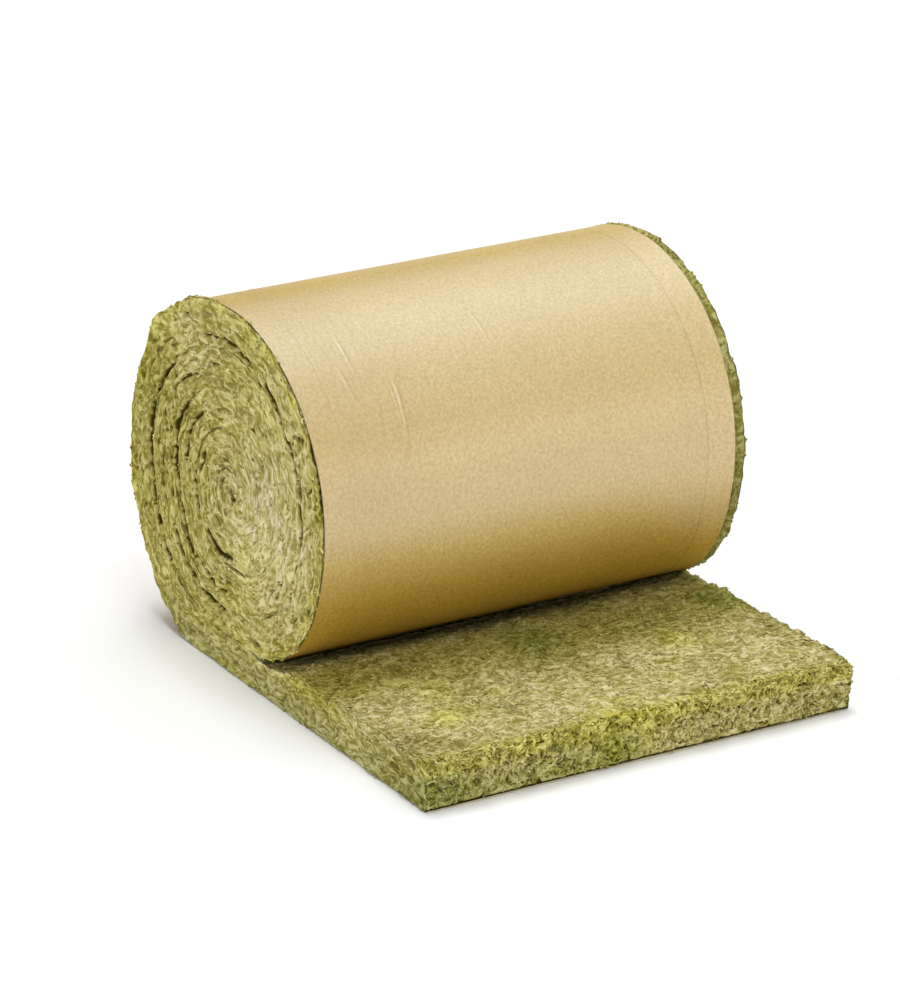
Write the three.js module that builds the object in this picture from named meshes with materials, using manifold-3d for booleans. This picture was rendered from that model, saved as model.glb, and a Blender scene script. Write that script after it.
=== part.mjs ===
// A roll of paper-faced mineral wool with its outer end unrolled on the floor.
//
// The mat is one long strip. It lies flat as the tail, passes under the roll, climbs the back,
// comes over the top and down the front, and tucks in on top of itself. The paper is stuck to
// the side that faces out. From there inwards the turns are pressed into one solid, and stand
// apart only near its ends, along a spiral that runs in to the eye. X runs along the tail, Y
// along the roll, Z is up.

import Module from "manifold-3d";
import * as THREE from "three";
import { mergeVertices } from "three/addons/utils/BufferGeometryUtils.js";

// Driving dimensions, in millimetres.
const matWidth = 600;
const freeThickness = 60; // the wool where nothing presses it
const turnPitch = 46; // one turn in the roll, with its paper
const eyeHeight = 234; // floor to the eye of the spiral
const eyeRadius = 4; // the hole left at the eye
const tailLength = 446; // from under the eye to the cut end
const edgeRound = 4; // soft edge of the wool all round
const turnGap = 1.6; // between two turns near an end, below their soft edges
const turnGapDepth = 9; // how far in from an end the turns stand apart
const turnGapInset = 10; // from the eye's middle to where the gap runs out
const facingThickness = 0.5;
const facingInsetFront = 4; // bare wool beyond the paper at the -Y end
const facingInsetBack = 15; // the same at the +Y end
const clearance = 0.3; // between the paper and the wool on both sides of it

// How the roll settles under its own weight.
const settleShare = 0.085; // how far a turn would reach past the flat that presses it
const hipShare = 0.04; // swelling low down at the front and the back
const flatBlend = 6; // height over which a turn lifts off its flat

// Facets.
const stepsPerTurn = 48;
const tailSteps = 8;
const edgeSteps = 2;
const eyeSteps = 10;

const fullTurn = 2 * Math.PI;
const turns = eyeHeight / turnPitch; // from the floor in to the eye
const woolDepth = facingThickness + clearance; // from the paper's outer face to the wool
const yFront = -matWidth / 2;
const yBack = matWidth / 2;

// Radius of the paper's outer face after `turn` turns, before the roll settles. It falls by
// one pitch a turn, and the sine keeps the outer turns level where they pass under the eye.
function outerRadius(turn) {
  const levelling = Math.max(0, 1 - turn / turns);
  const ease = (levelling * Math.sin(fullTurn * turn)) / fullTurn;
  return eyeHeight - turnPitch * (turn - ease);
}

// Inner face of the mat, which rests on the paper of the next turn in.
function innerRadius(turn) {
  return outerRadius(turn + 1) + clearance;
}

// The lesser of two values, with a rounded corner where they are within `blend` of each other.
function smoothMin(a, b, blend) {
  const overlap = Math.max(0, blend - Math.abs(a - b));
  return Math.min(a, b) - (overlap * overlap) / (4 * blend);
}

// Side view of a point `radius` from the eye, `turn` turns on from straight below it. The
// outer turns spread sideways low down and are pressed flat underneath, the inner ones hardly.
function settledPoint(turn, radius) {
  const angle = fullTurn * turn;
  const share = radius / eyeHeight;
  const hip = Math.cos(angle) > 0 ? hipShare * Math.sin(2 * angle) ** 2 : 0;
  const reach = radius * (1 + share * (settleShare + hip));
  const drop = smoothMin(reach * Math.cos(angle), radius, flatBlend * share);
  return new THREE.Vector2(-reach * Math.sin(angle), eyeHeight - drop);
}

// Top of the tail, swelling from the wound thickness back to the free one.
function tailTop(x) {
  const squeezed = (1 - x / tailLength) ** 2;
  return freeThickness - clearance - (freeThickness - turnPitch) * squeezed;
}

// Points of the spiral from one turn to another, `depth` inside the paper's outer face. Every
// turn has its points at the same angles, so that its facets nest in those of the next.
function spiral(fromTurn, toTurn, depth) {
  const points = [];
  for (let i = Math.round(fromTurn * stepsPerTurn); i < toTurn * stepsPerTurn; i++) {
    points.push(settledPoint(i / stepsPerTurn, outerRadius(i / stepsPerTurn) - depth));
  }
  points.push(settledPoint(toTurn, outerRadius(toTurn) - depth));
  return points;
}

// The strip's outer side, from the tail's end to where it has passed once round and tucked in.
function outerSide(depth, toTurn) {
  return [new THREE.Vector2(tailLength, depth), ...spiral(0, toTurn, depth)];
}

// The wool's inner side, from under the eye out to the wedge where the roll leaves the tail.
function tuckedSide(fromTurn) {
  const side = [settledPoint(fromTurn, innerRadius(fromTurn))];
  for (let i = 0; i < stepsPerTurn / 4; i++) {
    const turn = -i / stepsPerTurn;
    const point = settledPoint(turn, innerRadius(turn));
    if (point.y > tailTop(point.x)) break;
    side.push(point);
  }
  return side;
}

// The mat's side view: the tail, the outer turn and the solid inside it, with the thin slit
// that the paper goes into between the roll and the tail.
function woolOutline() {
  const slitEnd = 1 + clearance / (fullTurn * outerRadius(1));
  const tucked = tuckedSide(slitEnd - 1);
  const wedge = tucked[tucked.length - 1];
  const top = [];
  for (let i = 1; i <= tailSteps; i++) {
    const x = wedge.x + ((tailLength - wedge.x) * i) / tailSteps;
    top.push(new THREE.Vector2(x, tailTop(x)));
  }
  return [...outerSide(woolDepth, slitEnd), ...tucked, ...top];
}

function facingOutline() {
  return [...outerSide(0, 1), ...outerSide(facingThickness, 1).reverse()];
}

// Side view of the gap between the turns: a band along the spiral, from the slit to the eye.
function turnGapOutline() {
  const middle = facingThickness / 2;
  const toTurn = turns - turnGapInset / turnPitch;
  const outer = spiral(1, toTurn, middle - turnGap / 2);
  const inner = spiral(1, toTurn, middle + turnGap / 2);
  return [...outer, ...inner.reverse()];
}

// Extrudes a side view along Y between two ends. A positive `round` rounds its own edges, and
// a negative one flares them, to round the edges of what it is cut from.
function extrudeAcross(shape, yStart, yEnd, round) {
  const reach = Math.abs(round);
  const geometry = new THREE.ExtrudeGeometry(shape, {
    depth: yEnd - yStart - 2 * reach,
    bevelEnabled: reach > 0,
    bevelThickness: reach,
    bevelSize: round,
    bevelOffset: -round,
    bevelSegments: edgeSteps,
    curveSegments: eyeSteps,
  });
  geometry.translate(0, 0, reach - yEnd);
  return geometry.rotateX(Math.PI / 2);
}

const wasm = await Module();
wasm.setup();

function toSolid(geometry) {
  const bare = geometry.clone();
  bare.deleteAttribute("normal");
  bare.deleteAttribute("uv");
  const merged = mergeVertices(bare);
  const vertProperties = merged.attributes.position.array;
  const triVerts = new Uint32Array(merged.index.array);
  return new wasm.Manifold(new wasm.Mesh({ numProp: 3, vertProperties, triVerts }));
}

function toGeometry(solid) {
  const { vertProperties, triVerts } = solid.getMesh();
  const geometry = new THREE.BufferGeometry();
  geometry.setAttribute("position", new THREE.BufferAttribute(vertProperties, 3));
  geometry.setIndex(new THREE.BufferAttribute(triVerts, 1));
  geometry.computeVertexNormals();
  return geometry;
}

// The wool: the side view with its eye, less the gap between the turns, whose edges are soft
// too. The gap is left out of the middle of the roll, where the turns are one solid.
function woolGeometry() {
  const shape = new THREE.Shape(woolOutline());
  shape.holes.push(new THREE.Path().absarc(0, eyeHeight, eyeRadius, 0, fullTurn));
  const body = toSolid(extrudeAcross(shape, yFront, yBack, edgeRound));
  const gapShape = new THREE.Shape(turnGapOutline());
  const gap = toSolid(extrudeAcross(gapShape, yFront, yBack, -edgeRound));
  const reach = 4 * eyeHeight;
  const middle = toSolid(new THREE.BoxGeometry(reach, matWidth - 2 * turnGapDepth, reach));
  return toGeometry(body.subtract(gap.subtract(middle)));
}

function buildMesh(name, geometry, color, roughness) {
  const material = new THREE.MeshStandardMaterial({ color, roughness, metalness: 0 });
  const mesh = new THREE.Mesh(geometry, material);
  mesh.name = name;
  return mesh;
}

const woolMat = buildMesh("wool_mat", woolGeometry(), 0xa39a55, 1);

const facing = new THREE.Shape(facingOutline());
const kraftFacing = buildMesh(
  "kraft_facing",
  extrudeAcross(facing, yFront + facingInsetFront, yBack - facingInsetBack, 0),
  0xc39a5c,
  0.7,
);

// The origin is on the floor, at the middle of the footprint.
const sideBox = new THREE.Box2().setFromPoints(facingOutline());
const middle = sideBox.getCenter(new THREE.Vector2()).x;

const roll = new THREE.Group();
for (const mesh of [woolMat, kraftFacing]) {
  mesh.position.x = -middle;
  roll.add(mesh);
}

export default roll;
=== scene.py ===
from math import cos, pi, radians, sin

import bpy
import numpy as np
from mathutils import Matrix, Vector


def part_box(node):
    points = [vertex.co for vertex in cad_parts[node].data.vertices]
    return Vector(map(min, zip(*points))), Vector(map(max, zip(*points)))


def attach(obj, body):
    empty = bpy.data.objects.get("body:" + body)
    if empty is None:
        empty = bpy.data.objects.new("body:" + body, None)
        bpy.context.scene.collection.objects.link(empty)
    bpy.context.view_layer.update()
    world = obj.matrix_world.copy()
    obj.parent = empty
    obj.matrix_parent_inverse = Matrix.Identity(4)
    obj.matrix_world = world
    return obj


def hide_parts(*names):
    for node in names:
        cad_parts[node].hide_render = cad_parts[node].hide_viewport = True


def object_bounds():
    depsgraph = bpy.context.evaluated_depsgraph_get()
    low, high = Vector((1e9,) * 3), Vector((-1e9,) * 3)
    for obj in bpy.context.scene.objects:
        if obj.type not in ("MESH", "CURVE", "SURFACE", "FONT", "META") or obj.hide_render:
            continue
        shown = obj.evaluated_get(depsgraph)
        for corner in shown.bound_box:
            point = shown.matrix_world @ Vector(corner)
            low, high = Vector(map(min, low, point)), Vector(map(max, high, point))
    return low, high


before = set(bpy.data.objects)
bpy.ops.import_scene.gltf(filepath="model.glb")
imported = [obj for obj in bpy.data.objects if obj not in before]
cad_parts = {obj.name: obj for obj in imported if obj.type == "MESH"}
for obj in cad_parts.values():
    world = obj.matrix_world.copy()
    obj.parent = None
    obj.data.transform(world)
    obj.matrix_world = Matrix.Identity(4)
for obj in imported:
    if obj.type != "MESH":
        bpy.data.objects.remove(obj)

# An insulation roll: one mat of mineral wool with a kraft paper facing, wound up paper side
# out, with its outer end unrolled on the floor. Metres; X along the tail, Y along the roll.

cadLow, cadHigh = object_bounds()
mm = 0.001

mat = {
    "width": 600 * mm,
    "freeThickness": 60 * mm,
    "turnPitch": 46 * mm,        # one turn in the roll, with its paper
    "eyeHeight": 234 * mm,       # floor to the eye of the spiral
    "eyeHole": 1 * mm,           # radius of the hole left at the eye
    "innerEnd": 12 * mm,         # thickness of the mat's squeezed end beside the eye
    "tail": 446 * mm,            # from under the eye to the cut end
    "paper": 0.5 * mm,
    "clearance": 0.3 * mm,       # between the paper and the wool
    "insetFront": 4 * mm,        # bare wool beyond the paper at the -Y end
    "insetBack": 15 * mm,        # the same at the +Y end
    "settle": 0.085,             # how far a turn would reach past the flat that presses it
    "hip": 0.04,                 # swelling low down at the front and the back
    "flatBlend": 6 * mm,         # height over which a turn lifts off its flat
}
halfWidth = mat["width"] / 2
woolDepth = mat["paper"] + mat["clearance"]
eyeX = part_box("kraft_facing")[1][0] - mat["tail"]  # the frame's x under the eye


def outerRadius(turn):
    # Falls by one pitch a turn; the sine keeps the outer turns level where they pass under
    # the eye. Radius = eye height - pitch * (turn - levelling * sin(whole turns) / 2 pi).
    levelling = np.maximum(0, 1 - turn * mat["turnPitch"] / mat["eyeHeight"])
    ease = levelling * np.sin(2 * pi * turn) / (2 * pi)
    return mat["eyeHeight"] - mat["turnPitch"] * (turn - ease)


lastTurn = (mat["eyeHeight"] - mat["eyeHole"] - mat["innerEnd"]) / mat["turnPitch"]


def innerRadius(turn):
    # The mat rests on the paper of the next turn in; round the last turn it closes smoothly
    # on the eye instead.
    resting = outerRadius(turn + 1) + mat["clearance"]
    closing = np.clip(turn + 1 - lastTurn, 0, 1)
    closing = closing * closing * (3 - 2 * closing)
    start = outerRadius(lastTurn) + mat["clearance"]
    return np.where(closing > 0, start + (mat["eyeHole"] - start) * closing, resting)


def smoothMin(a, b, blend):
    # the lesser of a and b, less a quarter of their squared overlap over the blend
    overlap = np.maximum(0, blend - np.abs(a - b))
    return np.minimum(a, b) - overlap * overlap / (4 * np.maximum(blend, 1e-9))


def settledPoint(turn, radius):
    # A point of a spiral turned round the eye from straight below it. It spreads sideways in
    # proportion to its radius, and its drop is held at the radius, which presses it flat.
    angle = 2 * pi * turn
    share = radius / mat["eyeHeight"]
    hip = np.where(np.cos(angle) > 0, mat["hip"] * np.sin(2 * angle) ** 2, 0)
    reach = radius * (1 + share * (mat["settle"] + hip))
    drop = smoothMin(reach * np.cos(angle), radius, mat["flatBlend"] * share)
    return -reach * np.sin(angle), mat["eyeHeight"] - drop


def tailTop(x):
    # swells from the wound thickness back to the free one, with the square of the distance
    squeezed = (1 - x / mat["tail"]) ** 2
    free = mat["freeThickness"] - mat["clearance"]
    return free - (mat["freeThickness"] - mat["turnPitch"]) * squeezed


def sideView():
    # The mat's two faces as dense tables against the length along its middle: the tail from
    # its cut end to under the eye, then every turn to the eye.
    tailX = np.linspace(mat["tail"], 0, 2001)[:-1]
    overTail = -np.linspace(0, 0.25, 800)   # the quarter turn of paper above the tail
    tuckX, tuckZ = settledPoint(overTail, innerRadius(overTail))
    rising = tuckX < 0.9 * tuckX.max()
    wedge = np.where(tuckX[rising] >= 0, tuckZ[rising], 0)
    tailZ = np.minimum(tailTop(tailX), np.interp(tailX, tuckX[rising], wedge, right=1))
    turn = np.linspace(0, lastTurn, 24001)
    outX, outZ = settledPoint(turn, outerRadius(turn) - woolDepth)
    inX, inZ = settledPoint(turn, innerRadius(turn))
    view = {
        "outX": np.concatenate([tailX, outX]),
        "outZ": np.concatenate([np.full(len(tailX), woolDepth), outZ]),
        "inX": np.concatenate([tailX, inX]),
        "inZ": np.concatenate([tailZ, inZ]),
        "turn": np.concatenate([-tailX, turn]),
    }
    midX = (view["outX"] + view["inX"]) / 2
    midZ = (view["outZ"] + view["inZ"]) / 2
    steps = np.hypot(np.diff(midX), np.diff(midZ))
    view["along"] = np.concatenate([[0], np.cumsum(steps)])
    view["thick"] = np.hypot(view["inX"] - view["outX"], view["inZ"] - view["outZ"])
    return view


side = sideView()
matLength = side["along"][-1]
# Lengths along the mat from its cut end: to where the tail's top meets the roll, to where the
# roll starts under the eye, and to where the outer turn closes.
wedgeLength = side["along"][np.argmax(side["inZ"] < tailTop(side["outX"]) - 1e-9)]
floorLength = side["along"][np.argmax(side["turn"] > 0)]
tuckedLength = np.interp(1.0, side["turn"], side["along"])
outerSteps = np.hypot(np.diff(side["outX"]), np.diff(side["outZ"]))
paperLength = outerSteps[side["turn"][1:] <= 1].sum()


def matThickness(along):
    return np.interp(along, side["along"], side["thick"])


def bendToRoll(along, depth, across):
    # A point of the flat mat, carried to its place: its depth is a share of the way from the
    # outer face to the inner one at that length, and past the cut end it runs on straight.
    share = depth / matThickness(along)
    x, z = (
        np.interp(along, side["along"], side["out" + axis])
        + share * np.interp(along, side["along"], side["in" + axis] - side["out" + axis])
        for axis in "XZ"
    )
    return np.stack([eyeX + x - np.minimum(along, 0), across, z], -1)


def latticeNoise(points, seed):
    # Gradient noise: each whole-number corner has a random slope, and the eight corners'
    # slopes are blended by 6t^5 - 15t^4 + 10t^3. Runs from about -1 to 1.
    slopes = np.random.default_rng(seed).normal(size=(4096, 3))
    slopes /= np.linalg.norm(slopes, axis=1)[:, None]
    cell = np.floor(points).astype(np.int64)
    t = points - cell
    fade = t * t * t * (t * (6 * t - 15) + 10)
    total = np.zeros(len(points))
    for corner in np.ndindex(2, 2, 2):
        at = (cell + corner) * (73856093, 19349663, 83492791)
        slot = (at[:, 0] ^ at[:, 1] ^ at[:, 2]) & 4095
        weight = np.prod(np.where(corner, fade, 1 - fade), axis=1)
        total += weight * np.einsum("ij,ij->i", slopes[slot], t - corner)
    return 1.6 * total


def fractalNoise(points, size, seed, octaves=3):
    # octaves of noise, each half the size and 0.55 the height of the one before
    total, height = 0, 1
    for octave in range(octaves):
        total = total + height * latticeNoise(points / size * 2 ** octave, seed + octave)
        height *= 0.55
    return total


def stretchedNoise(seed, *parts):
    # two octaves, of coordinates that are each already divided by their own size
    return fractalNoise(np.stack(parts, 1), 1, seed, 2)


def smoothStep(low, high, value):
    # 3t^2 - 2t^3, from 0 at low to 1 at high; low may be the greater
    t = np.clip((value - low) / (high - low), 0, 1)
    return t * t * (3 - 2 * t)


def softSpot(place, at, radius):
    # a Gaussian about a place given from under the eye, with its radius in mm
    away = np.linalg.norm(place - (eyeX + at[0], at[1], at[2]), axis=1) / (radius * mm)
    return np.exp(-away ** 2)


def leftward(place, middle, spread):
    # 1 on the roll's side away from the tail, falling as a Gaussian of the angle at the eye
    x, z = place[:, 0] - eyeX, place[:, 2] - mat["eyeHeight"]
    return np.exp(-((np.abs(np.arctan2(z, x)) - middle) / spread) ** 2)


def meshObject(name, points, faces, attributes, bakeUv):
    # faces is a list of index arrays, each with one row for a face; all shaded smooth
    mesh = bpy.data.meshes.new(name)
    loops = np.concatenate([f.ravel() for f in faces])
    sizes = np.concatenate([np.full(len(f), f.shape[1]) for f in faces])
    mesh.vertices.add(len(points))
    mesh.vertices.foreach_set("co", points.astype(np.float32).ravel())
    mesh.loops.add(len(loops))
    mesh.loops.foreach_set("vertex_index", loops.astype(np.int32))
    mesh.polygons.add(len(sizes))
    starts = np.concatenate([[0], np.cumsum(sizes)[:-1]])
    mesh.polygons.foreach_set("loop_start", starts.astype(np.int32))
    mesh.polygons.foreach_set("use_smooth", np.ones(len(sizes), bool))
    mesh.update(calc_edges=True)
    for label, values in attributes.items():
        kind, field = ("FLOAT", "value") if values.ndim == 1 else ("FLOAT_VECTOR", "vector")
        layer = mesh.attributes.new(label, kind, "POINT")
        layer.data.foreach_set(field, values.astype(np.float32).ravel())
    layer = mesh.uv_layers.new(name="OFBake")
    layer.uv.foreach_set("vector", bakeUv.astype(np.float32).ravel())
    mesh.validate()
    piece = bpy.data.objects.new(name, mesh)
    bpy.context.scene.collection.objects.link(piece)
    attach(piece, "root")
    return piece


def gridFaces(indices, flip=False):
    # quads of a grid of point indices, facing along rows x columns, or the other way
    a, b, c, d = indices[:-1, :-1], indices[1:, :-1], indices[1:, 1:], indices[:-1, 1:]
    order = (a, d, c, b) if flip else (a, b, c, d)
    return np.stack([q.ravel() for q in order], 1)


wool = {
    "stepAlong": 4.1 * mm,       # spacing of the mesh along the mat
    "stepDepth": 1.5 * mm,       # through it, on the two ends
    "stepTop": 3.8 * mm,         # across the tail's top and its cut end
    "edgeRound": 0.6 * mm,       # soft edges of a turn, where it is tight on the next
    "looseRound": 6 * mm,        # the same where it stands off
    "press": 1.2 * mm,           # how far neighbouring turns push into each other at the ends
    "ridges": 1.8 * mm,          # felted ridges that follow the turns on the two ends
    "lumps": 2.0 * mm,           # rounder swellings there
    "layer": 12 * mm,            # spacing of the fleece's layers, which part in thin seams
    "seamDepth": 3.5 * mm,
    "topRipple": 3.0 * mm,       # flakes and swells of the tail's top
    "fray": 2.3 * mm,            # raggedness of the top's edges
    "cutLumps": 4.8 * mm,        # unevenness of the cut end
    "cutPits": 3 * mm,
    "rimPuff": 2.8 * mm,         # how far the bare rim beside the paper stands out
    "wedgeDip": 9 * mm,          # how far the tail's top sinks beside the roll
    "dipReach": 34 * mm,         # along the tail from there
    "dipUnder": 30 * mm,         # the same, under the roll
    "wedgeReach": 55 * mm,       # how far the two next values reach from there
    "wedgePaintedShade": 0.20,           # painted shade: darker gaps between the strands beside the roll
    "wedgePaintedLight": 0.28,           # painted light: lighter strands there, in the roll's shade
    "tone": 0.415,               # how light the wool is, 0 to 1
    "topTone": -0.05,            # added to it on the tail's top
    "cutTone": 0.22,             # added on the cut end
    "cutMottle": 0.40,           # light and dark clumps of the cut end
    # How large the features are: one size, or sizes along the mat and then through or across it.
    "lumpSize": 24 * mm,
    "ridgeSize": (22 * mm, 9.5 * mm),
    "seamSize": (50 * mm, 14 * mm),
    "flakeSize": (30 * mm, 60 * mm),
    "creaseSize": (13 * mm, 26 * mm),
    "swellSize": 80 * mm,
    "fraySize": 15 * mm,
    "pitSize": 13 * mm,
    "cutLumpSizes": (30 * mm, 9 * mm),   # broad and fine
    "puffSize": 16 * mm,
    "toneSize": 45 * mm,
    "mottleSize": 7 * mm,
    # Felted strands: their size in metres along the mat, through it and across it, then how
    # far they curl. On the tail's top they also lie turned by an angle in radians.
    "endStrands": (0.0110, 0.0049, 0.0075, 1.0),
    "topStrands": (0.0052, 0.0078, 0.0100, 1.4),
    "cutStrands": (0.0090, 0.0072, 0.0092, 2.2),
    "topSlant": 0.4,
    # lighter and darker areas, partly the wool's own tone and partly painted light and shade:
    # lighter on the front end's right half, darker on the tail's top beside the roll. A place in
    # metres from under the eye, a radius in mm, how much is added to the tone
    "toned": [
        ((0.09, -0.30, 0.22), 105, 0.15), ((0.10, -0.30, 0.36), 80, 0.06),
        ((0.02, -0.30, 0.10), 80, 0.03), ((-0.17, -0.30, 0.30), 90, -0.04),
        ((0.40, -0.20, 0.06), 90, 0.10), ((0.40, 0.0, 0.06), 90, 0.12),
        ((0.40, 0.22, 0.06), 70, 0.06), ((0.30, 0.12, 0.06), 60, 0.05),
        ((0.18, -0.26, 0.06), 55, -0.08), ((0.18, -0.14, 0.06), 50, -0.08),
        ((0.20, 0.02, 0.06), 45, -0.06), ((0.31, -0.26, 0.06), 60, 0.12),
        ((0.29, -0.13, 0.06), 45, 0.07), ((0.16, 0.20, 0.06), 60, 0.07),
        ((0.40, -0.30, 0.03), 60, -0.14), ((0.46, 0.15, 0.03), 140, 0.07),
        ((-0.08, -0.30, 0.41), 60, 0.07),
    ],
    "seed": 11,
    # Open cracks on the ends: half width and depth in mm, then points (part of a turn, turns
    # in from the outside). All are made wider and deeper by the two scales.
    "crackScale": (1.2, 1.7),
    "crackWander": 1.4 * mm,
    "backShift": (0.21, 0.3),    # part of a turn and turns that they are moved on at the back
    "cracks": [
        (1.6, 6, [(0.300, 0.85), (0.314, 0.89), (0.333, 0.96), (0.355, 0.99)]),
        (1.8, 9, [(0.195, 0.90), (0.220, 0.96), (0.248, 0.88), (0.282, 0.88), (0.300, 0.85)]),
        (1.7, 9, [(0.120, 1.01), (0.140, 0.96), (0.162, 0.99), (0.191, 0.93)]),
        (1.3, 4, [(0.070, 1.16), (0.087, 1.12), (0.110, 1.02)]),
        (1.8, 8, [(0.272, 1.83), (0.276, 1.59), (0.287, 1.42), (0.297, 1.32)]),
        (1.4, 4, [(0.315, 1.50), (0.333, 1.43), (0.352, 1.43), (0.400, 1.62)]),
        (2.0, 8, [(0.273, 2.02), (0.297, 1.93), (0.319, 1.91), (0.341, 2.00)]),
        (2.6, 12, [(0.198, 2.16), (0.217, 2.14), (0.236, 2.03), (0.263, 2.02)]),
        (2.2, 10, [(0.108, 2.14), (0.119, 2.10), (0.154, 2.14), (0.174, 2.18), (0.190, 2.07)]),
        (1.5, 6, [(0.046, 2.24), (0.069, 2.29), (0.100, 2.23)]),
        (1.7, 7, [(0.240, 2.49), (0.263, 2.53), (0.314, 2.43), (0.347, 2.46), (0.374, 2.48)]),
        (1.5, 7, [(0.160, 2.98), (0.189, 2.98), (0.212, 2.91), (0.245, 2.92)]),
        (1.8, 8, [(0.250, 3.17), (0.282, 3.26), (0.312, 3.24)]),
        (1.5, 6, [(0.226, 1.38), (0.242, 1.50)]),
        (1.9, 11, [(0.003, 3.20), (0.024, 3.16), (0.068, 3.13), (0.088, 3.13), (0.117, 3.17)]),
        (1.5, 7, [(0.015, 1.67), (0.053, 1.75), (0.088, 1.75), (0.124, 1.61), (0.158, 1.62)]),
        (1.2, 4, [(0.232, 4.35), (0.324, 4.22)]),
        (1.2, 4, [(0.081, 4.36), (0.154, 4.24)]),
        (1.3, 5, [(0.136, 3.66), (0.212, 3.63)]),
        (1.2, 4, [(0.439, 0.77), (0.467, 0.77)]),
        (1.5, 8, [(0.481, 0.73), (0.497, 0.77), (0.513, 0.83), (0.527, 0.87)]),
        (1.6, 8, [(0.541, 0.88), (0.547, 0.96), (0.556, 1.02)]),
        (1.8, 12, [(0.568, 0.87), (0.600, 0.93), (0.611, 1.02), (0.632, 1.01)]),
        (1.8, 12, [(0.641, 0.91), (0.655, 0.97), (0.672, 0.98)]),
        (1.8, 11, [(0.678, 0.95), (0.691, 0.92), (0.705, 0.98)]),
        (1.6, 9, [(0.705, 0.98), (0.740, 0.96), (0.780, 0.99)]),
        (1.4, 5, [(0.624, 0.58), (0.634, 0.59), (0.643, 0.40), (0.648, 0.20)]),
        (1.4, 5, [(0.692, 0.62), (0.700, 0.20)]),
        (1.4, 7, [(0.644, 0.03), (0.690, 0.02), (0.730, 0.03)]),
        (1.2, 4, [(0.510, 1.50), (0.541, 1.64)]),
        (1.2, 4, [(0.558, 2.07), (0.571, 2.25)]),
        (1.2, 5, [(0.560, 2.93), (0.575, 3.08)]),
        (1.1, 4, [(0.600, 2.03), (0.648, 2.05)]),
        (1.1, 4, [(0.832, 1.34), (0.868, 1.26)]),
        (1.1, 4, [(0.828, 1.17), (0.863, 1.09)]),
        (1.2, 4, [(0.820, 0.95), (0.843, 0.82)]),
        (1.2, 5, [(0.850, 0.91), (0.861, 0.79)]),
    ],
    # Swellings of the two ends: which end, x and height from the eye, radius, then how far
    # they stand out from the end and from the roll, all in mm.
    "bulges": [(-1, -60, 225, 55, 3, 2.5), (-1, -115, 205, 42, 4, 4), (-1, -187, 165, 30, 3, 7),
               (-1, -235, 40, 80, 1, 3), (-1, -225, -60, 60, 1, 3), (-1, -190, 120, 50, 1, 2),
               (-1, 120, -60, 50, 3, 0), (-1, 30, 20, 45, 3, 0), (-1, -60, -120, 60, 3, 0),
               (1, 60, 230, 60, 0, -2.5), (1, 120, 190, 50, 0, -2), (1, 150, -160, 50, 0, -1)],
    # Hollows pulled out of the outer turn's rim: part of a turn, turns in, their half sizes.
    "pocketDepth": 2.2 * mm,
    "pockets": [(0.715, 0.27, 0.011, 0.22), (0.688, 0.36, 0.008, 0.18)],
}


topEnd = wedgeLength + 20 * mm   # the top's fine grid ends a little way in under the roll


def boxPatches():
    # The flat mat as the six sides of a box, each a grid in (along, depth, across). The top of
    # the tail and the cut end are fine across; the hidden faces have only a few columns.
    stations = np.linspace(0, matLength, int(matLength / wool["stepAlong"]))
    split = int(np.searchsorted(stations, topEnd))
    share = np.linspace(0, 1, int(mat["turnPitch"] / wool["stepDepth"]) + 1)
    rim = np.array([0, 2, 4, 8, 15]) * mm
    coarse = np.concatenate([rim - halfWidth, [0], halfWidth - rim[::-1]])
    even = np.linspace(-halfWidth, halfWidth, int(mat["width"] / wool["stepTop"]))
    inside = np.abs(even) < halfWidth - rim[-1] - 1 * mm
    fine = np.sort(np.concatenate([coarse, even[inside]]))

    def patch(along, depthShare, across):
        along, depthShare, across = np.broadcast_arrays(along, depthShare, across)
        return np.stack([along, depthShare * matThickness(along), across], -1)

    s, d = stations[:, None], share[None, :]
    return {
        "front": (patch(s, d, -halfWidth), True),
        "back": (patch(s, d, halfWidth), False),
        "outer": (patch(s, 0, coarse[None, :]), False),
        "inner": (patch(s[split:], 1, coarse[None, :]), True),
        "top": (patch(s[:split], 1, fine[None, :]), True),
        "topJoin": (patch(s[split - 1:split], 1, fine[None, :]),
                    patch(s[split:split + 1], 1, coarse[None, :]), True),
        "cut": (patch(0, d.T[1:], fine[None, :]), True),
        "cutJoin": (patch(0, d.T[1:2], fine[None, :]), patch(0, d.T[:1], coarse[None, :]), False),
        "eye": (patch(matLength, d.T, coarse[None, :]), False),
    }


def joinRows(grids, ids, flip):
    # Triangles between a fine row and a coarse one: each fine segment goes to its nearest
    # coarse point, and each coarse segment to the fine point where that changes.
    fine, coarse = (grid[..., 2].ravel() for grid in grids)
    fineIds, coarseIds = (rows.ravel() for rows in ids)
    nearest = np.abs((fine[:-1, None] + fine[1:, None]) / 2 - coarse[None, :]).argmin(1)
    change = np.searchsorted(nearest, np.arange(1, len(coarse)))
    a = np.stack([fineIds[:-1], fineIds[1:], coarseIds[nearest]], 1)
    b = np.stack([coarseIds[1:], coarseIds[:-1], fineIds[change]], 1)
    rows = np.concatenate([a, b])
    return rows[:, ::-1] if flip else rows


def weldPatches(patches):
    # All grids as one set of points, equal ones merged, and their faces: four-sided ones in a
    # grid, triangles where a fine row meets a coarse one.
    flat = np.concatenate([g.reshape(-1, 3) for *grids, _ in patches.values() for g in grids])
    _, first, ids = np.unique(np.round(flat / 1e-7).astype(np.int64), axis=0,
                              return_index=True, return_inverse=True)
    ids = ids.ravel()
    quads, triangles, start = [], [], 0
    for *grids, flip in patches.values():
        numbered = []
        for grid in grids:
            count = grid.shape[0] * grid.shape[1]
            numbered.append(ids[start:start + count].reshape(grid.shape[:2]))
            start += count
        if len(grids) == 1:
            quads.append(gridFaces(numbered[0], flip))
        else:
            triangles.append(joinRows(grids, numbered, flip))
    return flat[first], np.concatenate(quads), np.concatenate(triangles)


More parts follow.
